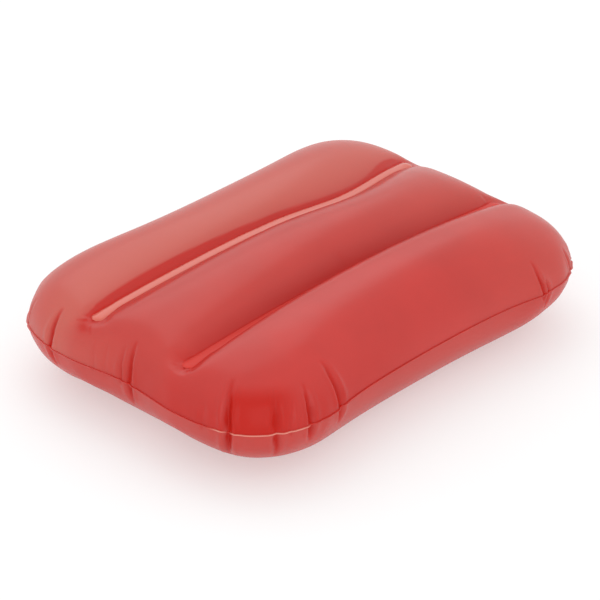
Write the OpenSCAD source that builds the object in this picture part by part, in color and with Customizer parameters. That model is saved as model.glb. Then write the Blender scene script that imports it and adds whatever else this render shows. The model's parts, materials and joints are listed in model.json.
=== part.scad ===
// Inflatable camp pillow.
// Two films of soft PVC are welded together round their edge. Two lengthwise webs inside tie the
// top film to the bottom film and divide the pillow into three chambers that share their air past
// the ends of the webs. A moulded valve with a plug on a strap sits low on the right end.
// Origin: on the ground, under the middle of the pillow. +X along its length, +Z up.

/* [Pillow] */
// Length between the end seams, measured at the corners
body_length = 434; // [400:1:450]
// Width between the side seams, measured at the corners
body_width = 330; // [310:1:345]
// Radius of the corners, seen from above
corner_radius = 88; // [80:1:95]
// Height of the seam above the ground
seam_height = 53.5; // [50:0.5:56]
// Height of the middle chamber's crest above the seam
crest_rise = 61; // [58:0.5:64]
// Height of the side chambers' crests above the seam
side_rise = 55; // [53:0.5:57]
// Thickness of the film
film = 0.4; // [0.3:0.05:0.8]

/* [Webs] */
// Distance of each web from the pillow's middle line
web_y = 53; // [48:1:60]
// Half of the length of a web
web_half = 195; // [180:1:200]
// Depth of the furrow that a web pulls into the film
furrow_depth = 21; // [14:0.5:24]
// Width of the strip where a web's edge is welded to the film
strip_width = 6; // [4:0.5:8]
// Radius of the round pad at each end of a strip
pad_radius = 5.5; // [4:0.5:7]

/* [Seam] */
// Width of the welded band that stands out round the edge
seam_width = 2.5; // [2:0.5:6]
// Thickness of the welded band
seam_thick = 0.8; // [0.6:0.1:1.2]

/* [Valve] */
// How far the valve's axis points below the horizontal
valve_tilt = 38; // [34:1:42]
// Outer radius of the flange
flange_radius = 17; // [15:0.5:18]
// Radius of the opening in the flange
well_radius = 8.6; // [8.4:0.1:9]
// Outer radius of the stem's tube
stem_radius = 4.5; // [4.2:0.1:4.8]
// Radius of the stem's bore
bore_radius = 3; // [2.6:0.1:3.2]
// Length of the stem
stem_length = 16.2; // [15:0.1:18]
// Length of the plug's shaft
plug_length = 8.2; // [7:0.1:9]

/* [Hidden] */
half_l = body_length / 2;
half_w = body_width / 2;
film_red = [0.80, 0.31, 0.28];
weld_red = [0.66, 0.20, 0.17];
valve_red = [0.74, 0.24, 0.21];

// The film leaves the seam upright and bends over to level within this distance of it
shoulder = 80;
shoulder_power = 2.2;
// How much narrower and shorter the middle is than the corners, as fractions
side_waist = 0.095;
end_waist = 0.03;
// A furrow's sides rise by about two thirds within this distance
furrow_spread = 16;
furrow_flat = 3.5;
furrow_half = 200;
columns = 18;
inner_rows = 6;
outer_rows = 9;
web_stations = 24;

// Distance in from the outline of a flat rounded rectangle
function edge_gap(x, y) =
    let (qx = abs(x) - (half_l - corner_radius),
         qy = abs(y) - (half_w - corner_radius))
    max(0, corner_radius - norm([max(qx, 0), max(qy, 0)]) - min(max(qx, qy), 0));

function furrow(x, y) =
    let (along = max(0, 1 - pow(x / furrow_half, 6)),
         away = max(0, abs(abs(y) - web_y) - furrow_flat))
    furrow_depth * along * exp(-away / furrow_spread);

// Height of the film above the seam's plane
function rise(x, y) =
    let (near = 1 - min(edge_gap(x, y), shoulder) / shoulder,
         bend = pow(max(0, 1 - pow(near, shoulder_power)), 1 / shoulder_power),
         crown = (1 - pow(x / half_l, 2)) * pow(1 - pow(y / half_w, 2), 3))
    bend * (side_rise + (crest_rise - side_rise) * crown - furrow(x, y));

// The tension between the corners draws the long sides and the ends in
function waisted(x, y) =
    [x * (1 - end_waist * pow(1 - pow(y / half_w, 2), 2)),
     y * (1 - side_waist * pow(1 - pow(x / half_l, 2), 2))];

// Points of the film, set in by a small distance for its inner face
function inset_scale(inset) = 1 - inset / crest_rise;
function plan(x, y, inset) =
    let (p = waisted(x, y))
    [p.x * (1 - inset / half_l), p.y * (1 - inset / half_w)];
function top_point(x, y, inset) =
    concat(plan(x, y, inset), [seam_height + rise(x, y) * inset_scale(inset)]);
function loose_bottom(x, y, inset) =
    concat(plan(x, y, inset), [max(inset, seam_height - rise(x, y) * inset_scale(inset))]);

// The stiff flange keeps the film flat round the valve
valve_out = [cos(valve_tilt), 0, -sin(valve_tilt)];
valve_x = half_l - 10;
valve_sink = 1.4;
valve_at = loose_bottom(valve_x, 0, 0) - valve_sink * valve_out;
flat_radius = 18;
blend_radius = 27;
function ease(t) = let (c = max(0, min(1, t))) c * c * (3 - 2 * c);
function bottom_point(x, y, inset) =
    let (p = loose_bottom(x, y, inset),
         from_axis = p - valve_at,
         out = from_axis * valve_out,
         away = norm(from_axis - out * valve_out),
         hold = 1 - ease((away - flat_radius) / (blend_radius - flat_radius)))
    p - (out + inset) * hold * valve_out;

// The grid of film points: rows run along the pillow, and gather at the furrows and the edge
strip_in = web_y - furrow_flat;
strip_out = web_y + furrow_flat;
half_rows = concat([for (k = [1 : inner_rows]) strip_in * k / inner_rows],
                   [for (k = [0 : outer_rows]) strip_out + (half_w - strip_out) * sin(90 * k / outer_rows)]);
row_y = concat([for (k = [len(half_rows) - 1 : -1 : 0]) -half_rows[k]], [0], half_rows);
row_count = len(row_y);
row_len = 2 * columns + 1;
function row_half(y) =
    let (past = abs(y) - (half_w - corner_radius))
    past <= 0 ? half_l : half_l - corner_radius + sqrt(max(0, pow(corner_radius, 2) - pow(past, 2)));
grid = [for (y = row_y) for (k = [-columns : columns]) [row_half(y) * sin(90 * k / columns), y]];
grid_size = len(grid);
edge_loop = concat([for (i = [0 : row_len - 1]) i],
                   [for (j = [1 : row_count - 1]) j * row_len + row_len - 1],
                   [for (i = [row_len - 2 : -1 : 0]) (row_count - 1) * row_len + i],
                   [for (j = [row_count - 2 : -1 : 1]) j * row_len]);

// The block of cells that the valve's hole takes out of the grid, and its outline
middle_row = (row_count - 1) / 2;
hole_from = [columns + 13, middle_row - 2];
hole_to = [columns + 16, middle_row + 2];
function in_hole(i, j) = i >= hole_from.x && i < hole_to.x && j >= hole_from.y && j < hole_to.y;
hole_loop = concat([for (i = [hole_from.x : hole_to.x]) hole_from.y * row_len + i],
                   [for (j = [hole_from.y + 1 : hole_to.y]) j * row_len + hole_to.x],
                   [for (i = [hole_to.x - 1 : -1 : hole_from.x]) hole_to.y * row_len + i],
                   [for (j = [hole_to.y - 1 : -1 : hole_from.y + 1]) j * row_len + hole_from.x]);

// Triangles of one face of a film, and of a band between two loops of points
function face_cells(start, up, holed) =
    [for (j = [0 : row_count - 2]) for (i = [0 : row_len - 2])
        let (a = start + j * row_len + i, b = a + 1, c = a + row_len, d = c + 1)
        if (!(holed && in_hole(i, j)))
        each up ? [[a, c, b], [b, c, d]] : [[a, b, c], [b, d, c]]];
function band_cells(first, second, turned) =
    [for (k = [0 : len(first) - 1])
        let (next = (k + 1) % len(first),
             a = first[k], b = first[next], c = second[k], d = second[next])
        each turned ? [[a, c, b], [b, c, d]] : [[a, b, c], [b, d, c]]];
function shifted(loop, step) = [for (k = loop) k + step];

module top_panel() {
    color(film_red)
        polyhedron(points = concat([for (g = grid) top_point(g.x, g.y, 0)],
                                   [for (g = grid) top_point(g.x, g.y, film)]),
                   faces = concat(face_cells(0, true, false), face_cells(grid_size, false, false),
                                  band_cells(edge_loop, shifted(edge_loop, grid_size), false)),
                   convexity = 8);
}

module at_valve() {
    translate(valve_at) rotate([0, 90 + valve_tilt, 0]) children();
}

// Local heights in the valve, from the film's outer face, along its axis
flange_thick = 1.2;
collar_wall = 0.5;
collar_deep = 1.6;
lip_radius = 5.6;
lip_thick = 1.4;
mouth = -0.8;
stem_end = mouth - stem_length;
skirt_thick = 0.6;
skirt_top = -1.2;
skirt_foot = -12.6;
running_gap = 0.05;

// The hole in the film is a many-sided cut, hidden under the flange
film_hole = well_radius + collar_wall + 0.8;
function hole_point(k, inset) =
    let (arm = bottom_point(grid[k].x, grid[k].y, inset) - valve_at,
         flat = arm - (arm * valve_out) * valve_out)
    valve_at - inset * valve_out + film_hole * flat / norm(flat);

module bottom_panel() {
    outer_hole = [for (k = [0 : len(hole_loop) - 1]) 2 * grid_size + k];
    inner_hole = shifted(outer_hole, len(hole_loop));
    color(film_red)
        polyhedron(points = concat([for (g = grid) bottom_point(g.x, g.y, 0)],
                                   [for (g = grid) bottom_point(g.x, g.y, film)],
                                   [for (k = hole_loop) hole_point(k, 0)],
                                   [for (k = hole_loop) hole_point(k, film)]),
                   faces = concat(band_cells(edge_loop, shifted(edge_loop, grid_size), true),
                                  band_cells(hole_loop, outer_hole, false),
                                  band_cells(shifted(hole_loop, grid_size), inner_hole, true),
                                  band_cells(outer_hole, inner_hole, false),
                                  face_cells(grid_size, true, true), face_cells(0, false, true)),
                   convexity = 8);
}

// The edges of both films, fused into one flat band
module perimeter_weld() {
    rim = [for (k = edge_loop) plan(grid[k].x, grid[k].y, 0)];
    band = [for (k = edge_loop) plan(grid[k].x, grid[k].y, -seam_width)];
    color(weld_red)
        translate([0, 0, seam_height - seam_thick / 2])
            linear_extrude(height = seam_thick)
                difference() {
                    polygon(band);
                    polygon(rim);
                }
}

// Stations along a web, from its left end to its right end, closer at the ends
station_x = [for (k = [-web_stations : web_stations]) web_half * sin(90 * k / web_stations)];
station_count = len(station_x);
weld_gap = 0.3;
function web_top(x, y) = top_point(x, y, film) - [0, 0, weld_gap];
function web_bottom(x, y) = loose_bottom(x, y, film) + [0, 0, weld_gap];

// A closed bar whose section has four corners at each station
module bar(corners) {
    last = 4 * (len(corners) / 4 - 1);
    sides = [for (k = [0 : len(corners) / 4 - 2]) for (s = [0 : 3])
        let (a = 4 * k + s, b = 4 * k + (s + 1) % 4)
        each [[a, b, a + 4], [b, b + 4, a + 4]]];
    polyhedron(points = corners,
               faces = concat(sides, [[3, 2, 1, 0], [last, last + 1, last + 2, last + 3]]),
               convexity = 4);
}

module web(side) {
    color(film_red)
        bar([for (x = station_x)
            let (low = web_bottom(x, side * web_y), high = web_top(x, side * web_y),
                 z0 = low.z + film, z1 = high.z - film)
            each [[low.x, low.y - film / 2, z0], [low.x, low.y - film / 2, z1],
                  [low.x, low.y + film / 2, z1], [low.x, low.y + film / 2, z0]]]);
}

// Half of the width of a web's welded edge: a plain strip with a round pad at each end
function strip_half(x) =
    let (past = abs(x) - (web_half - pad_radius))
    past < -pad_radius ? strip_width / 2
        : max(past < 0 ? strip_width / 2 : 0.3, sqrt(max(0, pow(pad_radius, 2) - pow(past, 2))));

module flange_pair(side) {
    color(weld_red) {
        bar([for (x = station_x)
            let (p = web_top(x, side * web_y), w = strip_half(x))
            each [[p.x, p.y - w, p.z - film], [p.x, p.y - w, p.z],
                  [p.x, p.y + w, p.z], [p.x, p.y + w, p.z - film]]]);
        bar([for (x = station_x)
            let (p = web_bottom(x, side * web_y), w = strip_half(x))
            each [[p.x, p.y - w, p.z], [p.x, p.y - w, p.z + film],
                  [p.x, p.y + w, p.z + film], [p.x, p.y + w, p.z]]]);
    }
}

module rear_web() { web(1); }
module rear_web_flanges() { flange_pair(1); }
module front_web() { web(-1); }
module front_web_flanges() { flange_pair(-1); }

// The flange is welded to the outside of the film; its collar lines the hole in the film
module valve_flange() {
    color(valve_red)
        at_valve()
            rotate_extrude($fn = 96)
                polygon([[well_radius, -collar_deep], [well_radius + collar_wall, -collar_deep],
                         [well_radius + collar_wall, 0], [flange_radius, 0],
                         [flange_radius, flange_thick * 0.5], [flange_radius - 2, flange_thick],
                         [well_radius + 0.6, flange_thick], [well_radius, flange_thick - 0.5]]);
}

// The thin skirt that lets the stem pop in and out
module valve_diaphragm() {
    color(valve_red)
        at_valve()
            rotate_extrude($fn = 96)
                polygon([[well_radius - running_gap, skirt_top],
                         [well_radius - running_gap - skirt_thick, skirt_top],
                         [stem_radius + running_gap, skirt_foot + skirt_thick],
                         [stem_radius + running_gap, skirt_foot],
                         [stem_radius + running_gap + skirt_thick, skirt_foot]]);
}

module valve_stem() {
    color(valve_red)
        at_valve()
            difference() {
                union() {
                    translate([0, 0, stem_end]) cylinder(r = stem_radius, h = stem_length, $fn = 64);
                    translate([0, 0, mouth - lip_thick]) cylinder(r = lip_radius, h = lip_thick, $fn = 64);
                }
                translate([0, 0, stem_end - 1]) cylinder(r = bore_radius, h = stem_length + 2, $fn = 64);
            }
}

plug_head = 1.5;
plug_gap = 0.03;
tab_reach = 7.6;
tab_width = 4;
tab_thick = 0.8;
module valve_plug() {
    color(valve_red)
        at_valve() {
            translate([0, 0, mouth + plug_gap]) cylinder(r = lip_radius, h = plug_head, $fn = 64);
            translate([0, 0, mouth - plug_length]) cylinder(r = bore_radius - plug_gap, h = plug_length + 0.5, $fn = 64);
            translate([-tab_reach, -tab_width / 2, mouth + plug_gap + (plug_head - tab_thick) / 2])
                cube([tab_reach - lip_radius + 1, tab_width, tab_thick]);
        }
}

// The strap turns from the stem's lip to the plug's head in a short loop
strap_width = 3.2;
strap_thick = 0.6;
strap_reach = 1.6;
module valve_tether() {
    low = mouth - lip_thick + 0.3;
    high = mouth + plug_head - 0.3;
    color(valve_red)
        at_valve() {
            translate([lip_radius, -strap_width / 2, low]) cube([strap_reach, strap_width, strap_thick]);
            translate([lip_radius, -strap_width / 2, high - strap_thick]) cube([strap_reach, strap_width, strap_thick]);
            translate([lip_radius + strap_reach - strap_thick, -strap_width / 2, low])
                cube([strap_thick, strap_width, high - low]);
        }
}

// The one-way flap lies on the stem's inner end and opens into the pillow
flap_radius = 4.3;
flap_thick = 0.5;
module valve_flap() {
    color(valve_red)
        at_valve()
            translate([0, 0, stem_end - running_gap - flap_thick]) cylinder(r = flap_radius, h = flap_thick, $fn = 64);
}

top_panel();
bottom_panel();
perimeter_weld();
rear_web();
rear_web_flanges();
front_web();
front_web_flanges();
valve_flange();
valve_diaphragm();
valve_stem();
valve_plug();
valve_tether();
valve_flap();
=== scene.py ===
"""Looks of an inflatable camp pillow of soft, milky red PVC, built round its CAD frame.

Each film is a flat cut. A cloth solver blows the pair up: film that doesn't stretch but may
crumple, air pushing on every triangle, and webs that hold the two films together. Formulas then add
the creases, settle the furrows, lay the underside on the ground and keep the valve's place flat.
"""

import json
import math

import bpy
import numpy as np
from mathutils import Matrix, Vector
from mathutils.bvhtree import BVHTree
from mathutils.geometry import delaunay_2d_cdt


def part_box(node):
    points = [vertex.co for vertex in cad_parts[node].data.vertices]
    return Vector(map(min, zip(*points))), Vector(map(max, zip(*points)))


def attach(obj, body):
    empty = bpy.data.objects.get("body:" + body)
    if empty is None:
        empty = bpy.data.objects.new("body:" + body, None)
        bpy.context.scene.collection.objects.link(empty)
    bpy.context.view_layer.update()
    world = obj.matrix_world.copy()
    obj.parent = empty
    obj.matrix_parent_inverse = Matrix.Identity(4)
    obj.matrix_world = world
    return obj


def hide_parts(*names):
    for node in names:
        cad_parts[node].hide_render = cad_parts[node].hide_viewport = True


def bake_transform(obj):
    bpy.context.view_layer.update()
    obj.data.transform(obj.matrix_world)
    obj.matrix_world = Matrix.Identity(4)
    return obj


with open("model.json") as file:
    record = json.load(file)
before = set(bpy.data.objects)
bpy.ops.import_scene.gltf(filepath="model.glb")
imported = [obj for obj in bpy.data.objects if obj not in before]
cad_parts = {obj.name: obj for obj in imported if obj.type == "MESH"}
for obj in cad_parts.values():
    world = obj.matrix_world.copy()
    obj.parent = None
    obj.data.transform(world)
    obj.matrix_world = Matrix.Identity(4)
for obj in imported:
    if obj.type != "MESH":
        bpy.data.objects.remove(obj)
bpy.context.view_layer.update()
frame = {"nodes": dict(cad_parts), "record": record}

# ---- Flat cut and webs, in millimetres ----
FLAT_LENGTH, FLAT_WIDTH, FLAT_CORNER = 481.9, 379.1, 116.9
SIDE_HOLLOW, END_HOLLOW = 9.7, 13.7
WEB_HALF = 195.7
STRIP_HALF = 3.7
PAD_HALF = 6.4
PAD_TAPER = 24.0
SEAM_HEIGHT = 53.5

# Each web: its side, distance from the middle line at its ends and middle, height at ends and middle
WEBS = {
    "rear": (1, 54.3, 50.0, 61.5, 80.0),
    "front": (-1, 54.3, 52.0, 61.5, 75.0),
}

# How far the strips and the rear corners are moved after the films are blown up
REAR_RISE, FRONT_SINK, FRONT_LEAN = 5.0, 4.5, 3.0
STRIP_SAG, STRIP_SWAY, CORNER_PUSH = 2.5, 8.5, 3.2

# The solver: size of its triangles, steps, passes in each step, air, slowing, and its first shape
CELL = 13.0
STEPS, PASSES = 150, 6
PRESSURE, DAMPING = 0.0064, 0.96
START_SLOPE, START_REACH = 0.35, 52

# The ground: how softly the underside's edge leaves it, and how far the soft edge is let down
GROUND_SOFT, GROUND_SINK = 3.0, 0.12

HALF_L, HALF_W = FLAT_LENGTH / 2, FLAT_WIDTH / 2


# ---- The flat cut ----
def inside_by(p):
    """How far flat points lie inside the rounded outline."""
    q = np.abs(p) - (HALF_L - FLAT_CORNER, HALF_W - FLAT_CORNER)
    return FLAT_CORNER - np.linalg.norm(np.maximum(q, 0), axis=1) - np.minimum(q.max(1), 0)


def hollowed(p):
    """The cut's sides and ends run slightly hollow between the corners."""
    x, y = p[:, 0] / HALF_L, p[:, 1] / HALF_W
    across, along = np.clip(1 - x * x, 0, 1), np.clip(1 - y * y, 0, 1)
    return np.c_[p[:, 0] * (1 - END_HOLLOW / HALF_L * along * x * x),
                 p[:, 1] * (1 - SIDE_HOLLOW / HALF_W * across * y * y)]


def outline(step):
    """Points along the rounded outline, a whole number of steps round it."""
    turn = np.radians(np.linspace(0, 90, 60))
    arcs = []
    for quarter, (sx, sy) in enumerate(((1, 1), (-1, 1), (-1, -1), (1, -1))):
        a = turn + quarter * math.pi / 2
        centre = (sx * (HALF_L - FLAT_CORNER), sy * (HALF_W - FLAT_CORNER))
        arcs.append(np.c_[centre[0] + FLAT_CORNER * np.cos(a), centre[1] + FLAT_CORNER * np.sin(a)])
    path = np.vstack(arcs + [arcs[0][:1]])
    run = np.r_[0, np.cumsum(np.linalg.norm(np.diff(path, axis=0), axis=1))]
    stops = np.linspace(0, run[-1], 4 * round(run[-1] / step / 4), endpoint=False)
    return np.c_[np.interp(stops, run, path[:, 0]), np.interp(stops, run, path[:, 1])]


def web_line(name, x):
    side, end_y, middle_y, _, _ = WEBS[name]
    return side * (middle_y + (end_y - middle_y) * (x / WEB_HALF) ** 2)


def web_height(name, x):
    _, _, _, end_tall, middle_tall = WEBS[name]
    return end_tall + (middle_tall - end_tall) * (1 - (x / WEB_HALF) ** 2)


def strip_half(x):
    """Half of a strip's width: it widens into a teardrop pad at each end."""
    left = WEB_HALF - np.abs(x)
    taper = STRIP_HALF + (PAD_HALF - STRIP_HALF) * np.clip(1 - (left - PAD_HALF) / PAD_TAPER, 0, 1) ** 2
    return np.where(left < PAD_HALF, np.sqrt(np.maximum(PAD_HALF**2 - (PAD_HALF - left) ** 2, 0)), taper)


def strip_loop(name):
    """The outline of one weld strip, all round."""
    n = round(2 * (WEB_HALF - PAD_HALF) / CELL)
    x = np.linspace(-(WEB_HALF - PAD_HALF), WEB_HALF - PAD_HALF, n + 1)
    tip = WEB_HALF - PAD_HALF + PAD_HALF * math.sin(math.radians(50))
    x = np.r_[-tip, x, tip]
    upper = np.c_[x, web_line(name, x) + strip_half(x)]
    lower = np.c_[x, web_line(name, x) - strip_half(x)][::-1]
    right = [[WEB_HALF, web_line(name, WEB_HALF)]]
    left = [[-WEB_HALF, web_line(name, -WEB_HALF)]]
    return np.vstack([upper, right, lower, left])


def flat_mesh():
    """Flat points (outline, then strips, then a triangular grid), triangles, and the strips' edges."""
    edge = outline(CELL)
    loops = [strip_loop(name) for name in WEBS]
    strips = np.vstack(loops)
    row = CELL * math.sqrt(3) / 2
    grid = []
    for k in range(-int(HALF_W / row) - 1, int(HALF_W / row) + 2):
        x = np.arange(-int(HALF_L / CELL) - 2, int(HALF_L / CELL) + 3) * CELL + (k % 2) * CELL / 2
        grid.append(np.c_[x, np.full(len(x), k * row)])
    grid = np.vstack(grid)
    grid = grid[inside_by(grid) > 0.55 * CELL]
    near = np.linalg.norm(grid[:, None, :] - strips[None, :, :], axis=2).min(1)
    grid = grid[near > 0.6 * CELL]
    for name in WEBS:
        off = np.abs(grid[:, 1] - web_line(name, grid[:, 0]))
        grid = grid[~((off < STRIP_HALF + 1) & (np.abs(grid[:, 0]) < WEB_HALF))]
    points = np.vstack([edge, strips, grid])
    start, edges = len(edge), []
    for loop in loops:
        n = len(loop)
        edges += [(start + i, start + (i + 1) % n) for i in range(n)]
        start += n
    out = delaunay_2d_cdt([Vector(p) for p in points], edges, [], 0, 1e-5)
    back = [o[0] for o in out[3]]
    cells = np.array([[back[i] for i in f] for f in out[2]])
    a, b = points[cells[:, 1]] - points[cells[:, 0]], points[cells[:, 2]] - points[cells[:, 0]]
    area = a[:, 0] * b[:, 1] - a[:, 1] * b[:, 0]
    cells[area < 0] = cells[area < 0][:, ::-1]
    middle = points[cells].mean(1)
    cells = cells[(inside_by(middle) > 0) & (np.abs(area) > 0.01)]
    return points, cells, len(edge), len(strips), np.array(edges)


# ---- Blowing it up ----
def edges_of(cells):
    e = np.vstack([cells[:, [0, 1]], cells[:, [1, 2]], cells[:, [2, 0]]])
    return np.unique(np.sort(e, axis=1), axis=0)


def in_colours(edges, count):
    """Groups of edges that share no point, so that each group can move at once."""
    taken, colour = [0] * count, []
    for i, j in edges.tolist():
        c, both = 0, taken[i] | taken[j]
        while both >> c & 1:
            c += 1
        colour.append(c)
        taken[i] |= 1 << c
        taken[j] |= 1 << c
    colour = np.array(colour)
    return [np.nonzero(colour == c)[0] for c in range(colour.max() + 1)]


def pulled(x, i, j, limit):
    """Moves pairs of points together where they are further apart than limit."""
    d = x[j] - x[i]
    r = np.sqrt((d * d).sum(1))
    d *= (np.maximum(r - limit, 0) / np.maximum(r, 1e-9) * 0.5)[:, None]
    x[i] += d
    x[j] -= d


def blow_up():
    """The inflated closed mesh: points, flat points, triangles, which are below, and sharp edges."""
    flat, cells, rim, strip_points, strip_edges = flat_mesh()
    n = len(flat)
    under = np.where(np.arange(n) < rim, np.arange(n), np.arange(n) + n - rim)
    total = 2 * n - rim
    cut = np.zeros((total, 2))
    cut[:n] = flat
    cut[under] = flat
    real = hollowed(cut)
    x = np.c_[real, np.zeros(total)]
    lift = START_SLOPE * np.minimum(inside_by(flat), START_REACH)
    x[:n, 2] = lift
    x[under[rim:], 2] = -lift[rim:]
    triangles = np.vstack([cells, under[cells][:, ::-1]])
    below = np.arange(len(triangles)) >= len(cells)
    edges = edges_of(triangles)
    rest = np.linalg.norm(real[edges[:, 0]] - real[edges[:, 1]], axis=1)
    groups = [(edges[c, 0], edges[c, 1], rest[c]) for c in in_colours(edges, total)]
    tied = np.arange(rim, rim + strip_points)
    half = strip_points // 2
    tall = np.r_[web_height("rear", flat[tied[:half], 0]), web_height("front", flat[tied[half:], 0])]
    speed = np.zeros_like(x)
    for _ in range(STEPS):
        a, b, c = (x[triangles[:, k]] for k in range(3))
        push = np.cross(b - a, c - a) * (PRESSURE / 6)
        for k in range(3):
            for axis in range(3):
                speed[:, axis] += np.bincount(triangles[:, k], push[:, axis], total)
        speed *= DAMPING
        before = x.copy()
        x += speed
        for _ in range(PASSES):
            for i, j, limit in groups:
                pulled(x, i, j, limit)
            pulled(x, tied, under[tied], tall)
        speed = x - before
    ring = np.c_[np.arange(rim), (np.arange(rim) + 1) % rim]
    sharp = np.vstack([ring, strip_edges, under[strip_edges]])
    return x, cut, triangles, below, sharp


def refined(x, cut, triangles, below, sharp):
    """One round of Loop subdivision that keeps the sharp edges sharp."""
    n = len(x)
    e = np.vstack([triangles[:, [0, 1]], triangles[:, [1, 2]], triangles[:, [2, 0]]])
    key = np.sort(e, axis=1)
    edges, where = np.unique(key, axis=0, return_inverse=True)
    where = where.reshape(3, -1)
    across = np.zeros((len(edges), 3))
    for k in range(3):
        np.add.at(across, where[k], x[triangles[:, (k + 2) % 3]])
    code = edges[:, 0] * n + edges[:, 1]
    s = np.sort(sharp, axis=1)
    is_sharp = np.isin(code, s[:, 0] * n + s[:, 1])
    ends = x[edges[:, 0]] + x[edges[:, 1]]
    middle = np.where(is_sharp[:, None], ends / 2, ends * 0.375 + across * 0.125)
    around, count = np.zeros((n, 3)), np.bincount(edges.ravel(), minlength=n)
    np.add.at(around, edges[:, 0], x[edges[:, 1]])
    np.add.at(around, edges[:, 1], x[edges[:, 0]])
    beta = np.where(count == 3, 3 / 16, 3 / (8 * np.maximum(count, 1)))
    moved = x * (1 - count * beta)[:, None] + around * beta[:, None]
    se = edges[is_sharp]
    lines, beside = np.bincount(se.ravel(), minlength=n), np.zeros((n, 3))
    np.add.at(beside, se[:, 0], x[se[:, 1]])
    np.add.at(beside, se[:, 1], x[se[:, 0]])
    moved = np.where((lines == 2)[:, None], 0.75 * x + 0.125 * beside, moved)
    moved = np.where(((lines == 1) | (lines > 2))[:, None], x, moved)
    new = n + where
    a, b, c = triangles.T
    ab, bc, ca = new
    cells = np.vstack([np.c_[a, ab, ca], np.c_[ab, b, bc], np.c_[ca, bc, c], np.c_[ab, bc, ca]])
    half_edges = np.nonzero(is_sharp)[0]
    split = np.vstack([np.c_[se[:, 0], n + half_edges], np.c_[n + half_edges, se[:, 1]]])
    flat = np.vstack([cut, (cut[edges[:, 0]] + cut[edges[:, 1]]) / 2])
    return np.vstack([moved, middle]), flat, cells, np.tile(below, 4), split


def normals_of(x, triangles):
    a, b, c = (x[triangles[:, k]] for k in range(3))
    face = np.cross(b - a, c - a)
    out = np.zeros_like(x)
    for k in range(3):
        for axis in range(3):
            out[:, axis] += np.bincount(triangles[:, k], face[:, axis], len(x))
    return out / np.maximum(np.linalg.norm(out, axis=1), 1e-9)[:, None]


# ---- Puckers where the flat seam takes up its slack ----
def on_seam(place, at):
    """A point of the flat outline and the way in from it. place is a side, or a corner with an angle
    of 0 at the end and 90 at the long side."""
    if place in ("left", "right"):
        s = -1 if place == "left" else 1
        return np.array([s * HALF_L, at]), np.array([-s, 0.0])
    if place in ("front", "rear"):
        s = -1 if place == "front" else 1
        return np.array([at, s * HALF_W]), np.array([0.0, -s])
    sy, sx = (-1 if "front" in place else 1), (-1 if "left" in place else 1)
    out = np.array([sx * math.cos(math.radians(at)), sy * math.sin(math.radians(at))])
    centre = np.array([sx * (HALF_L - FLAT_CORNER), sy * (HALF_W - FLAT_CORNER)])
    return centre + FLAT_CORNER * out, -out


# Each crease: side or corner of the seam, where on it (millimetres from the middle, or degrees round
# the corner), depth, half width, reach on the upper film, reach on the lower film, lean above
PUCKERS = [
    ("rear_left", 8.5, 3.6, 2.8, 40, 24, 0.08),
    ("left", 6.0, 1.8, 2.4, 34, 6, 0.05),
    ("left", 24.0, 0.6, 2.2, 34, 4, 0.05),
    ("left", 36.0, 0.5, 2.0, 30, 4, 0.08),
    ("left", -3.2, 3.4, 3.0, 42, 28, 0.06),
    ("front_left", 10.5, 1.0, 3.0, 26, 8, -0.1),
    ("front_left", 24.8, 5.0, 3.4, 46, 40, -0.05),
    ("front_left", 52.0, 3.2, 3.0, 38, 32, -0.02),
    ("front_left", 59.0, 1.0, 2.0, 30, 5, -0.2),
    ("front_left", 67.5, 0.9, 1.8, 28, 2, 0.03),
    ("front_left", 72.0, 4.2, 3.2, 36, 20, 0.03),
    ("front", -117.5, 4.0, 3.2, 46, 18, 0.1),
    ("front_right", 82.0, 2.6, 2.2, 34, 6, 0.12),
    ("front_right", 78.0, 2.4, 2.0, 14, 20, 0.1),
    ("front_right", 52.0, 2.6, 2.4, 24, 22, 0.0),
    ("front_right", 40.0, 2.4, 2.4, 20, 24, 0.0),
    ("front_right", 16.0, 3.4, 2.6, 36, 32, 0.0),
    ("rear_right", 14.0, 3.2, 2.6, 34, 30, 0.0),
    ("rear_right", 38.0, 3.6, 2.6, 38, 34, 0.03),
    ("rear_right", 63.0, 2.8, 2.6, 30, 30, -0.03),
    ("rear_right", 84.0, 2.4, 2.4, 28, 26, 0.05),
    ("rear_left", 36.0, 1.2, 2.6, 26, 28, 0.0),
    ("rear_left", 61.0, 2.0, 2.6, 30, 30, 0.04),
    ("rear_left", 80.0, 2.2, 2.4, 24, 28, 0.0),
    ("rear", -70.0, 1.2, 2.6, 20, 24, 0.0),
    ("rear", 60.0, 1.4, 2.6, 26, 20, 0.0),
    ("right", 12.0, 2.0, 2.6, 30, 14, 0.0),
    ("right", -30.0, 1.6, 2.6, 24, 24, 0.0),
]


def puckered(x, cut, is_below, normals):
    """Pulls narrow folds in across the seam, and returns how deep in a fold each point lies, which sets
    the painted crease shade.
    """
    amount, fold_shade = np.zeros(len(x)), np.zeros(len(x))
    for place, where, depth, width, above, under, lean in PUCKERS:
        start, way_in = on_seam(place, where)
        arm = cut - start
        along = arm @ way_in
        side = arm @ np.array([-way_in[1], way_in[0]]) - lean * along * ~is_below
        reach = np.where(is_below, under, above)
        strength = np.clip(1 - np.clip(along / reach, 0, 1) ** 1.6, 0, 1) * (along > -5)
        held = 0.4 + 0.6 * np.clip(along / 7, 0, 1)
        q = side / (width * (1.05 - 0.4 * np.clip(along / reach, 0, 1)))
        valley = np.exp(-np.abs(q) ** 1.6)
        shoulders = 0.35 * np.exp(-((np.abs(q) - 2.3) ** 2))
        amount += depth * strength * held * (valley - shoulders)
        fold_shade = np.maximum(fold_shade, min(depth / 3, 1) * strength**0.5 * np.exp(-np.abs(q / 0.85) ** 2.4))
    return x - normals * amount[:, None], fold_shade


# ---- Round the webs' strips ----
def soft_step(v, low, high):
    t = np.clip((v - low) / (high - low), 0, 1)
    return t * t * (3 - 2 * t)


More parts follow.
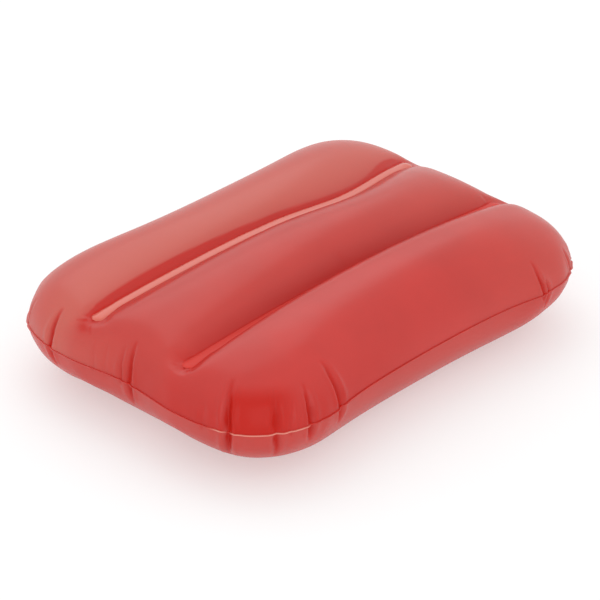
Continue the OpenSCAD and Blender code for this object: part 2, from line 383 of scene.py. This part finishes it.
def from_strip(name, cut):
    """Distance of flat points outside the edge of a strip."""
    x = np.abs(cut[:, 0])
    middle = web_line(name, np.clip(cut[:, 0], -WEB_HALF, WEB_HALF))
    off = np.abs(cut[:, 1] - middle)
    tip = WEB_HALF - PAD_HALF
    return np.where(x < tip, off - strip_half(x), np.hypot(np.maximum(x - tip, 0), off) - PAD_HALF)


def settled(x, cut, is_below):
    """On the upper side the rear strip lies shallow and bends sideways, and the front one lies in a
    deep cleft, which the front swell leans over. The rear corners of both films move a little."""
    along = np.clip(1 - (cut[:, 0] / 205) ** 2, 0, 1)
    rear = (cut[:, 1] - web_line("rear", cut[:, 0])) / 30
    front = cut[:, 1] - web_line("front", cut[:, 0])
    lift = REAR_RISE * along * np.exp(-(rear**2))
    lift -= FRONT_SINK * along**0.5 * np.exp(-((front / 13) ** 2))
    lift += FRONT_LEAN * along**0.5 * np.exp(-(((front + 21) / 15) ** 2))
    behind = np.where(rear > 0, rear / 0.8, rear / 1.5)
    sway = np.exp(-(((cut[:, 0] - 92) / 62) ** 2) - behind**2)
    out = x.copy()
    out[:, 2] += (lift - STRIP_SAG * sway) * ~is_below
    over = 0.5 * FRONT_LEAN * along**0.5 * np.exp(-(((front + 18) / 13) ** 2))
    out[:, 1] += (over - STRIP_SWAY * sway) * ~is_below
    left = np.exp(-((cut[:, 0] + 165) / 75) ** 2)
    right = np.exp(-((cut[:, 0] - 110) / 60) ** 2)
    corner = soft_step(cut[:, 1], 70, 150) * (left - 0.8 * right)
    out[:, 1] += CORNER_PUSH * corner
    return out


def pocketed(x, cut, is_below, normals):
    """The film is drawn in round the pads at the ends of the strips."""
    sunk = np.zeros(len(x))
    for name in WEBS:
        d = from_strip(name, cut)
        end = np.clip((np.abs(cut[:, 0]) - 165) / 30, 0, 1)
        sunk += 1.6 * end * np.exp(-((d - 1.0) / 5.5) ** 2) * (d > -20)
    return x - normals * sunk[:, None]


def rear_band(x):
    """How far up the rear swell's inner flank the deep shade reaches: two lobes with a waist."""
    return 58 + 8 * np.exp(-(((x + 135) / 120) ** 2)) + 8 * np.exp(-(((x - 172) / 32) ** 2))


# Short nicks that run out from the left end of the rear strip: start and end, flat
NICKS = [(-200, 61, -205, 67), (-203, 51, -210, 47)]


def shaded(fold_shade, cut, is_below):
    """Painted shade, a deeper colour standing in for shadow: in the creases along the strips' edges,
    beside the strips, on the flank behind the rear one, in the front furrow, at the rear strip's left
    end and its nicks, and on and near the front left corner."""
    u, v, top = cut[:, 0], cut[:, 1], ~is_below
    for name in WEBS:
        d = from_strip(name, cut)
        fold_shade = np.maximum(fold_shade, 0.95 * np.exp(-((d - 0.5) / 1.4) ** 2) * (d > -1.5))
        fold_shade = np.maximum(fold_shade, 0.3 * np.exp(-np.maximum(d, 0) / 9.0))
    blur = 1.2 + 24 * soft_step(np.abs(u), 190, 222)
    flank = soft_step(v, 50, 54) * (1 - soft_step(v, rear_band(u) - blur, rear_band(u) + blur))
    flank *= 1 - soft_step(np.abs(u), 192, 212)
    fold_shade = np.maximum(fold_shade, 0.42 * flank * top)
    behind = v - web_line("front", u)
    cleft = np.exp(-((behind - 2) / 12) ** 2) * (behind > 0) * (1 - soft_step(u, -30, 190) * 0.55)
    fold_shade = np.maximum(fold_shade, 0.4 * cleft * top * (u > -200))
    for ax, ay, bx, by in NICKS:
        length_squared = (bx - ax) ** 2 + (by - ay) ** 2
        t = np.clip(((u - ax) * (bx - ax) + (v - ay) * (by - ay)) / length_squared, 0, 1)
        d = np.hypot(u - ax - t * (bx - ax), v - ay - t * (by - ay))
        fold_shade = np.maximum(fold_shade, (0.75 - 0.5 * t) * np.exp(-((d / 1.6) ** 2)) * top)
    fold_shade = np.maximum(fold_shade, 0.5 * np.exp(-(((u + 206) / 6) ** 2) - ((v - 57) / 8) ** 2) * top)
    inside = inside_by(cut)
    turn = np.degrees(np.arctan2(-(v + HALF_W - FLAT_CORNER), -(u + HALF_L - FLAT_CORNER)))
    patch = soft_step(turn, 23, 26) * (1 - soft_step(turn, 50, 74)) * (1 - soft_step(inside, 26, 44))
    fold_shade = np.maximum(fold_shade, 0.75 * patch * top * (u < 0))
    low_end = np.exp(-((inside / 26) ** 2)) * (1 - soft_step(v, -20, 60)) * (1 - soft_step(u, -120, 20))
    return np.maximum(fold_shade, 0.4 * low_end * top)


def painted_light_mask(cut, is_below):
    """Painted light, a paler colour standing in for the sheen of the light and its glow through the
    film:
    most on the rear swell, less towards both ends, a little below.
    """
    u, v = cut[:, 0], cut[:, 1]
    blur = 1.5 + 24 * soft_step(np.abs(u), 190, 222)
    rear = soft_step(v, rear_band(u) - blur, rear_band(u) + blur) * (0.95 - 0.4 * soft_step(v, 75, 125))
    middle = 0.12 * soft_step(v, -60, -40) + 0.3 * soft_step(u, 0, 200)
    left = 0.45 * (1 - soft_step(u, -235, -180)) * soft_step(v, -60, 30)
    return np.clip(np.maximum(np.maximum(rear, middle), left), 0, 1) * ~is_below + 0.15 * is_below


# ---- Making meshes ----
def new_mesh(name, points, faces, smooth=True):
    """A piece from points in millimetres."""
    mesh = bpy.data.meshes.new(name)
    mesh.from_pydata([tuple(p) for p in np.asarray(points, float) * 0.001], [],
                     [tuple(int(i) for i in f) for f in faces])
    mesh.validate()
    mesh.update()
    if smooth:
        mesh.polygons.foreach_set("use_smooth", [True] * len(mesh.polygons))
    piece = bpy.data.objects.new(name, mesh)
    bpy.context.scene.collection.objects.link(piece)
    return piece


def attribute(piece, name, values):
    data = piece.data.attributes.new(name, "FLOAT", "POINT")
    data.data.foreach_set("value", np.asarray(values, np.float32))


def dropped(x):
    """Stands the pillow on the ground, where its underside lies flat with soft edges."""
    out = x.copy()
    out[:, 2] += SEAM_HEIGHT
    z, soft = out[:, 2], GROUND_SOFT
    low = z < soft
    fade = np.exp(np.maximum(z[low] - soft, -30) / soft)
    out[low, 2] = np.maximum(soft * fade - GROUND_SINK, 0.0)
    return out


# ---- The valve's place, from the frame ----
valve_low, valve_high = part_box("valve_flange")
pop = next(j for j in frame["record"]["behaviour"]["joints"] if j["name"] == "valve_pop")
VALVE_OUT = np.array(pop["axis"], float)
VALVE_OUT /= np.linalg.norm(VALVE_OUT)
VALVE_UP = np.array([-VALVE_OUT[2], 0.0, VALVE_OUT[0]])
FLANGE_RADIUS, FLANGE_THICK = 17.0, 1.2

# Round the valve: the film is flat out to here, blends over this much, and has a hole this big;
# film further in or out than VALVE_REACH belongs to another part of the pillow
FLAT_RADIUS, FLAT_BLEND, HOLE_RADIUS = 18, 14, 9.4
VALVE_REACH = 25

# The skirt: radius at the well and at the stem, where it starts, its depth, thickness and ring height
SKIRT_OUTER, SKIRT_INNER = 8.5, 4.7
SKIRT_START, SKIRT_DEPTH = 1.25, 11.3
SKIRT_THICK, SKIRT_RING = 0.55, 0.12


def valve_centre():
    """The point where the valve's axis meets the film's outer face: the flange's box is the box of a
    disc from there to its thickness outwards, tilted, so its middle is known."""
    x = np.array(valve_high) * 1000
    reach = FLANGE_RADIUS * abs(VALVE_UP[0])
    outer_rim = x[0] - reach
    lowest = valve_low[2] * 1000 + FLANGE_RADIUS * abs(VALVE_UP[2])
    rim_thick = FLANGE_THICK / 2
    return np.array([outer_rim - rim_thick * VALVE_OUT[0], 0.0, lowest - rim_thick * VALVE_OUT[2]])


VALVE = valve_centre()


def flattened(x, is_below):
    """The stiff flange keeps the film flat round the valve."""
    arm = x - VALVE
    out = arm @ VALVE_OUT
    away = np.linalg.norm(arm - out[:, None] * VALVE_OUT, axis=1)
    t = np.clip((away - FLAT_RADIUS) / FLAT_BLEND, 0, 1)
    hold = (1 - t * t * (3 - 2 * t)) * is_below * (np.abs(out) < VALVE_REACH)
    return x - (out * hold)[:, None] * VALVE_OUT, away


x, cut, triangles, below, sharp = blow_up()
levels = 3
for _ in range(levels):
    x, cut, triangles, below, sharp = refined(x, cut, triangles, below, sharp)
is_below = np.zeros(len(x), bool)
is_below[triangles[below].ravel()] = True
is_below[triangles[~below].ravel()] = False
normals = normals_of(x, triangles)
x, fold_shade = puckered(x, cut, is_below, normals)
x = settled(x, cut, is_below)
# Painted shade in the creases and furrows, and painted light on the rest, held back where there is shade
fold_shade = shaded(fold_shade, cut, is_below)
painted_light = painted_light_mask(cut, is_below) * (1 - fold_shade)
normals = normals_of(x, triangles)
x = pocketed(x, cut, is_below, normals)
x = dropped(x)
x, valve_away = flattened(x, is_below)
print("inflated size, mm:", np.round(x.max(0) - x.min(0), 1), "points", len(x))


# ---- Looking up places on the films ----
class Film:
    """Finds the place and outward direction of flat points on one inflated film."""

    def __init__(self, cells):
        self.cells = cells
        self.tree = BVHTree.FromPolygons([(p[0], p[1], 0) for p in cut], cells.tolist())

    def at(self, flat, out=0.0):
        flat = np.asarray(flat, float)
        out = np.broadcast_to(out, len(flat))
        place = np.zeros((len(flat), 3))
        for k, (u, v) in enumerate(flat):
            i, j, l = self.cells[self.tree.find_nearest((u, v, 0))[2]]
            m = np.array([cut[j] - cut[i], cut[l] - cut[i]]).T
            w = np.clip(np.linalg.solve(m, (u - cut[i][0], v - cut[i][1])), -0.2, 1.2)
            w = np.array([1 - w.sum(), *w])
            n = w @ normals[[i, j, l]]
            place[k] = w @ x[[i, j, l]] + out[k] * n / np.linalg.norm(n)
        return place


top_cells, bottom_cells = triangles[~below], triangles[below]
normals = normals_of(x, triangles)
above_film, under_film = Film(top_cells), Film(bottom_cells)


# ---- Materials ----
def material(name, colour, roughness, specular=0.5, coat=0.0, through=0.0, grain=0.0):
    m = bpy.data.materials.new(name)
    m.use_nodes = True
    nodes, links = m.node_tree.nodes, m.node_tree.links
    p = nodes["Principled BSDF"]
    p.inputs["Base Color"].default_value = (*colour, 1)
    p.inputs["Roughness"].default_value = roughness
    p.inputs["Specular IOR Level"].default_value = specular
    p.inputs["Coat Weight"].default_value = coat
    p.inputs["Coat Roughness"].default_value = 0.12
    if grain:
        place = nodes.new("ShaderNodeTexCoord")
        noise = nodes.new("ShaderNodeTexNoise")
        noise.inputs["Scale"].default_value = 420
        noise.inputs["Detail"].default_value = 3
        bump = nodes.new("ShaderNodeBump")
        bump.inputs["Strength"].default_value = grain
        bump.inputs["Distance"].default_value = 0.0004
        links.new(place.outputs["Object"], noise.inputs["Vector"])
        links.new(noise.outputs["Fac"], bump.inputs["Height"])
        links.new(bump.outputs["Normal"], p.inputs["Normal"])
    if through:
        t = nodes.new("ShaderNodeBsdfTranslucent")
        t.inputs["Color"].default_value = (min(colour[0] * 1.3, 1), colour[1] * 1.2, colour[2] * 1.1, 1)
        mix = nodes.new("ShaderNodeMixShader")
        mix.inputs[0].default_value = through
        links.new(p.outputs[0], mix.inputs[1])
        links.new(t.outputs[0], mix.inputs[2])
        links.new(mix.outputs[0], nodes["Material Output"].inputs[0])
    return m


def tinted(m, colour, lit_colour, shade_colour):
    """Milky clouds in the base colour, a paler colour painted in as light where the film catches the
    sheen, and a deeper colour painted in as shade where the film folds or meets a weld.
    """
    nodes, links = m.node_tree.nodes, m.node_tree.links
    p = nodes["Principled BSDF"]
    place = nodes.new("ShaderNodeTexCoord")
    cloud = nodes.new("ShaderNodeTexNoise")
    cloud.inputs["Scale"].default_value = 16
    cloud.inputs["Detail"].default_value = 4
    ramp = nodes.new("ShaderNodeValToRGB")
    ramp.color_ramp.elements[0].position, ramp.color_ramp.elements[1].position = 0.3, 0.7
    ramp.color_ramp.elements[0].color = (*[c * 0.94 for c in colour], 1)
    ramp.color_ramp.elements[1].color = (*[min(c * 1.06, 1) for c in colour], 1)
    links.new(place.outputs["Object"], cloud.inputs["Vector"])
    links.new(cloud.outputs["Fac"], ramp.inputs["Fac"])
    base = ramp.outputs["Color"]
    for name, towards in (("painted_light", lit_colour), ("fold_shade", shade_colour)):
        a = nodes.new("ShaderNodeAttribute")
        a.attribute_name = name
        mix = nodes.new("ShaderNodeMix")
        mix.data_type = "RGBA"
        mix.inputs["B"].default_value = (*towards, 1)
        links.new(base, mix.inputs["A"])
        links.new(a.outputs["Fac"], mix.inputs["Factor"])
        base = mix.outputs["Result"]
    links.new(base, p.inputs["Base Color"])
    # The painted shade also lowers the specular level, dulling reflections in the folds
    gloss = nodes.new("ShaderNodeMath")
    gloss.operation = "MULTIPLY_ADD"
    gloss.inputs[1].default_value, gloss.inputs[2].default_value = -0.4, 0.5
    links.new(a.outputs["Fac"], gloss.inputs[0])
    links.new(gloss.outputs[0], p.inputs["Specular IOR Level"])


# The film's own red, a paler red painted in as light, and a deeper red painted in as shade
FILM_RED = (0.62, 0.045, 0.036)
PAINTED_LIGHT_RED = (0.66, 0.150, 0.115)
PAINTED_SHADE_RED = (0.57, 0.016, 0.008)
film = material("milky_pvc", FILM_RED, 0.26, 0.5, 0.0, 0.28, 0.12)
tinted(film, FILM_RED, PAINTED_LIGHT_RED, PAINTED_SHADE_RED)
# One fused PVC painted two ways: paler on the rear strips as a painted reflection of the light, dark on
# the front strips as painted shade in their cleft
reflecting_strip_paint = material("fused_pvc_painted_reflection", (0.62, 0.11, 0.072), 0.24, 0.5, 0.2, 0.0, 0.1)
fin = material("fin_pvc", FILM_RED, 0.22, 0.5, 0.3, 0.0, 0.1)
# The fin: a paler red painted in as its highlight, and the painted crease shade
tinted(fin, (0.54, 0.03, 0.022), (0.76, 0.26, 0.20), PAINTED_SHADE_RED)
shaded_strip_paint = material("cleft_pvc", (0.59, 0.028, 0.018), 0.45, 0.25, 0.0, 0.0, 0.1)
inner = material("web_pvc", (0.60, 0.06, 0.05), 0.35, 0.5, 0.0, 0.4, 0.1)
moulded = material("moulded_pvc", (0.50, 0.03, 0.022), 0.28, 0.5, 0.3, 0.0, 0.08)


def finished(piece, paint, node, body="pillow"):
    piece.data.materials.append(paint)
    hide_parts(node)
    if body:
        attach(piece, body)
    return piece


# ---- Films ----
def film_piece(name, mine, node):
    used, faces = np.unique(mine, return_inverse=True)
    piece = new_mesh(name, x[used], faces.reshape(-1, 3))
    # The painted crease shade and the painted light, read by the film's material
    attribute(piece, "fold_shade", fold_shade[used])
    attribute(piece, "painted_light", painted_light[used])
    return finished(piece, film, node)


near_valve = (x[bottom_cells].mean(1) - VALVE) @ VALVE_OUT > -VALVE_REACH
hole = near_valve & (valve_away[bottom_cells].min(1) < HOLE_RADIUS)
top_film = film_piece("top_film", top_cells, "top_panel")
bottom_film = film_piece("bottom_film", bottom_cells[~hole], "bottom_panel")


# ---- The weld all round, a thin fused fin ----
def rim_band():
    rim = np.intersect1d(top_cells, bottom_cells)
    rim = rim[np.argsort(np.arctan2(cut[rim, 1] / HALF_W, cut[rim, 0] / HALF_L))]
    line = x[rim]
    tangent = np.roll(line, -3, 0) - np.roll(line, 3, 0)
    out = np.c_[tangent[:, 1], -tangent[:, 0], np.zeros(len(line))]
    out /= np.linalg.norm(out, axis=1)[:, None]
    section = [(-1.2, 0.36), (0.2, 0.36), (1.0, 0.28), (1.4, 0.1),
               (1.4, -0.1), (1.0, -0.28), (0.2, -0.36), (-1.2, -0.36)]
    rings = [line + out * o + np.array([0, 0, h]) for o, h in section]
    n, m = len(line), len(section)
    faces = []
    for k in range(m):
        for i in range(n):
            j, l = (i + 1) % n, (k + 1) % m
            faces.append((k * n + i, k * n + j, l * n + j, l * n + i))
    piece = new_mesh("perimeter_weld_fin", np.vstack(rings), faces)
    u, v = cut[rim].T
    turn = np.degrees(np.arctan2(-(v + HALF_W - FLAT_CORNER), -(u + HALF_L - FLAT_CORNER)))
    # Painted highlight along the fin round the front left corner, broken at the crease there; painted
    # crease shade elsewhere
    shine = soft_step(turn, 12, 20) * (1 - soft_step(turn, 66, 74))
    shine *= 1 - np.exp(-((turn - 24.8) / 2) ** 2)
    attribute(piece, "painted_light", np.tile(shine, m))
    attribute(piece, "fold_shade", np.tile(fold_shade[rim] * (1 - shine), m))
    return piece


finished(rim_band(), fin, "perimeter_weld")


# ---- Webs, and the strips that weld them to the films ----
def strip_stations():
    turn = np.radians(np.linspace(88, 0, 9))
    tip = WEB_HALF - PAD_HALF + PAD_HALF * np.sin(turn)
    middle = np.linspace(-(WEB_HALF - PAD_HALF), WEB_HALF - PAD_HALF, 150)
    return np.r_[-tip[:-1], middle, tip[:-1][::-1]]


def strips(name):
    """Both fused bands of one web: a low cushion with crisp edges, thicker at its pads."""
    stations = strip_stations()
    half = strip_half(stations)
    across = np.array([-1.0, -0.9, -0.6, 0.0, 0.6, 0.9, 1.0])
    rise = np.array([-0.3, 0.12, 0.22, 0.25, 0.22, 0.12, -0.3])
    pad = np.clip((half - STRIP_HALF) / (PAD_HALF - STRIP_HALF), 0, 1)
    points, faces = [], []
    for side in (above_film, under_film):
        first = sum(len(p) for p in points)
        n, m = len(stations), len(across)
        rows = [np.c_[stations, web_line(name, stations) + a * half] for a in across]
        flat = np.stack(rows, 1).reshape(-1, 2)
        dome = 0.5 if name == "rear" else 0.1
        up = np.tile(rise, n) + np.repeat(pad, m) * np.tile(dome * (1 - across**2), n)
        points.append(side.at(flat, up))
        points.append(side.at(flat * (0.9995, 1), -0.4))
        for layer in (0, 1):
            base = first + layer * n * m
            for i in range(n - 1):
                for k in range(m - 1):
                    here, ahead = base + i * m + k, base + (i + 1) * m + k
                    quad = (here, ahead, ahead + 1, here + 1)
                    faces.append(quad if (layer == 0) == (side is above_film) else quad[::-1])
        border = ([i * m for i in range(n)] + [(n - 1) * m + k for k in range(1, m)]
                  + [i * m + m - 1 for i in range(n - 2, -1, -1)] + [k for k in range(m - 2, 0, -1)])
        for i, j in zip(border, border[1:] + border[:1]):
            quad = (first + i, first + j, first + n * m + j, first + n * m + i)
            faces.append(quad[::-1] if side is above_film else quad)
    return new_mesh(name + "_weld_bands", np.vstack(points), faces)


def web(name):
    """The web between the bands: a taut sheet, scooped at both ends."""
    n, m = 90, 17
    stations = np.linspace(-1, 1, n) * (WEB_HALF - 2)
    line = np.c_[stations, web_line(name, stations)]
    high, low = above_film.at(line, -0.5), under_film.at(line, -0.5)
    rows = []
    for t in np.linspace(0, 1, m):
        scoop = 1 - 0.06 * math.sin(math.pi * t)
        row = high * (1 - t) + low * t
        row[:, 0] *= scoop
        rows.append(row)
    faces = [(k * n + i, k * n + i + 1, (k + 1) * n + i + 1, (k + 1) * n + i)
             for k in range(m - 1) for i in range(n - 1)]
    piece = new_mesh(name + "_web_sheet", np.vstack(rows), faces)
    tall = np.linalg.norm(high - low, axis=1)
    return piece, tall


for name in WEBS:
    # The rear strips get the painted reflection, the front ones the painted shade
    finished(strips(name), reflecting_strip_paint if name == "rear" else shaded_strip_paint, name + "_web_flanges")
    piece, tall = web(name)
    finished(piece, inner, name + "_web")


# ---- Valve ----
def in_valve(u, v, w):
    """A point at heights w along the valve's axis, u along its lower side and v across."""
    u, v, w = (np.asarray(a, float).ravel() for a in np.broadcast_arrays(u, v, w))
    low_side = np.array([VALVE_OUT[2], 0, -VALVE_OUT[0]])
    return VALVE + u[:, None] * low_side + v[:, None] * np.array([0, 1.0, 0]) + w[:, None] * VALVE_OUT


def skirt():
    """The soft cone between the well and the stem, with three shallow rings so that it can turn."""
    t = np.linspace(0, 1, 25)
    r = SKIRT_OUTER + (SKIRT_INNER - SKIRT_OUTER) * t + SKIRT_RING * np.sin(t * 6 * math.pi)
    w = -SKIRT_START - SKIRT_DEPTH * t
    r, w = np.r_[r, r[::-1]], np.r_[w, w[::-1]]
    r[:len(t)] -= SKIRT_THICK
    turn = np.linspace(0, 2 * math.pi, 96, endpoint=False)
    n, m = len(turn), len(r)
    points = in_valve(r[:, None] * np.cos(turn), r[:, None] * np.sin(turn), w[:, None])
    faces = [(k * n + i, k * n + (i + 1) % n, (k + 1) % m * n + (i + 1) % n, (k + 1) % m * n + i)
             for k in range(m) for i in range(n)]
    return new_mesh("valve_skirt", points, faces)


def strap():
    """The bent strap that keeps the plug, from the lip out and back to the plug's head."""
    turn = np.radians(np.linspace(-90, 90, 15))
    bend = np.c_[8.3 + 0.62 * np.cos(turn), -0.75 + 1.0 * np.sin(turn)]
    path = np.vstack([[5.3, -1.75], bend, [5.3, 0.25]])
    along = np.gradient(path, axis=0)
    along /= np.linalg.norm(along, axis=1)[:, None]
    side = np.c_[along[:, 1], -along[:, 0]] * 0.22
    n = len(path)
    loop = [(1, -1.5), (1, 1.5), (-1, 1.5), (-1, -1.5)]
    rings = [in_valve((path + side * s)[:, 0], v, (path + side * s)[:, 1]) for s, v in loop]
    faces = [(k * n + i, k * n + i + 1, (k + 1) % 4 * n + i + 1, (k + 1) % 4 * n + i)
             for k in range(4) for i in range(n - 1)]
    faces += [tuple(k * n for k in range(4)), tuple(k * n + n - 1 for k in (3, 2, 1, 0))]
    return new_mesh("valve_strap", np.vstack(rings), faces, smooth=False)


piece = finished(skirt(), moulded, "valve_diaphragm", None)
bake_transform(piece)
piece = finished(strap(), moulded, "valve_tether", None)
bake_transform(piece)
for node in ("valve_flange", "valve_stem", "valve_plug", "valve_flap"):
    for place in frame["nodes"][node].material_slots:
        place.material = moulded

# ---- Stage ----
def area_light(name, place, aim, size, power):
    light = bpy.data.lights.new(name, "AREA")
    light.shape = "SQUARE"
    light.size, light.energy = size, power
    lamp = bpy.data.objects.new(name, light)
    lamp.location = place
    lamp.rotation_euler = (Vector(aim) - Vector(place)).to_track_quat("-Z", "Y").to_euler()
    bpy.context.scene.collection.objects.link(lamp)
    light.specular_factor = 0.45


centre = Vector((0, 0, SEAM_HEIGHT * 0.001))
area_light("overhead", (0.5, 1.0, 1.5), centre, 1.7, 6)
area_light("front_fill", (-1.8, -2.2, 0.9), centre, 2.2, 12)

world = bpy.data.worlds.new("studio")
world.use_nodes = True
world.node_tree.nodes["Background"].inputs["Color"].default_value = (1, 1, 1, 1)
world.node_tree.nodes["Background"].inputs["Strength"].default_value = 1.02
bpy.context.scene.world = world

bpy.ops.mesh.primitive_plane_add(size=12, location=(0, 0, -0.0005))
floor = bpy.context.object
floor.name = "floor"
paper = material("paper", (0.55, 0.55, 0.55), 0.9, 0.1)
lit = paper.node_tree.nodes["Principled BSDF"]
lit.inputs["Emission Color"].default_value = (1, 1, 1, 1)
lit.inputs["Emission Strength"].default_value = 0.42
floor.data.materials.append(paper)

# ---- Camera ----
AZIMUTH, ELEVATION, DISTANCE, LENS = math.radians(-44.64), math.radians(29.27), 2.649, 186.8
back = Vector((math.sin(AZIMUTH) * math.cos(ELEVATION), -math.cos(AZIMUTH) * math.cos(ELEVATION),
               math.sin(ELEVATION)))
camera_data = bpy.data.cameras.new("camera")
camera_data.lens = LENS
camera_data.shift_x, camera_data.shift_y = -0.0065, -0.0171
camera = bpy.data.objects.new("camera", camera_data)
camera.location = centre + back * DISTANCE
camera.rotation_euler = (-back).to_track_quat("-Z", "Y").to_euler()
bpy.context.scene.collection.objects.link(camera)
bpy.context.scene.camera = camera
bpy.context.scene.view_settings.view_transform = "Standard"
